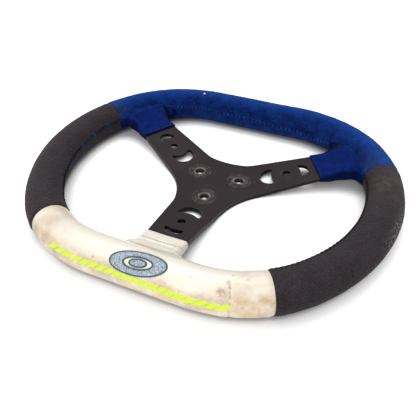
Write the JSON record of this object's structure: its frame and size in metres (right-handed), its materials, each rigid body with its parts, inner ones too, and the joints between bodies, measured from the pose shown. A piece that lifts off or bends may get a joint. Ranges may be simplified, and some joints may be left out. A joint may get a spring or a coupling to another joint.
{
  "type": "steering wheel",
  "caption": "Padded flat-topped, flat-bottomed steering wheel with sewn covers on a dished, pierced plate whose hub bolts to a steering boss.",
  "frame": {"origin": "centre of the hub's bolt circle, on the plate's mounting face", "axes": "+Z out of the hub towards the driver, +Y to the top of the wheel, +X to the driver's right"},
  "size_m": [0.3604, 0.3063, 0.0349],
  "materials": {
    "anodised_plate": "satin black anodising, scuffed at the hub",
    "rivet_steel": "plain zinc-plated rivets",
    "tube_steel": "black paint, hidden inside the foam",
    "foam": "moulded black foam, hidden inside the covers",
    "blue_suede": "napped blue suede",
    "black_suede": "worn black suede",
    "cream_leather": "smooth cream leather, soiled and cracked"
  },
  "bodies": {
    "root": {"spoke_plate": "anodised_plate", "spoke_rivets": "rivet_steel", "rim_tube": "tube_steel", "tab_left": "tube_steel", "tab_right": "tube_steel", "tab_bottom": "tube_steel", "grip_foam": "foam", "cover_top": "blue_suede", "cover_left": "black_suede", "cover_right": "black_suede", "cover_bottom": "cream_leather", "boot_left": "blue_suede", "boot_right": "blue_suede", "boot_bottom": "cream_leather"}
  },
  "joints": []
}
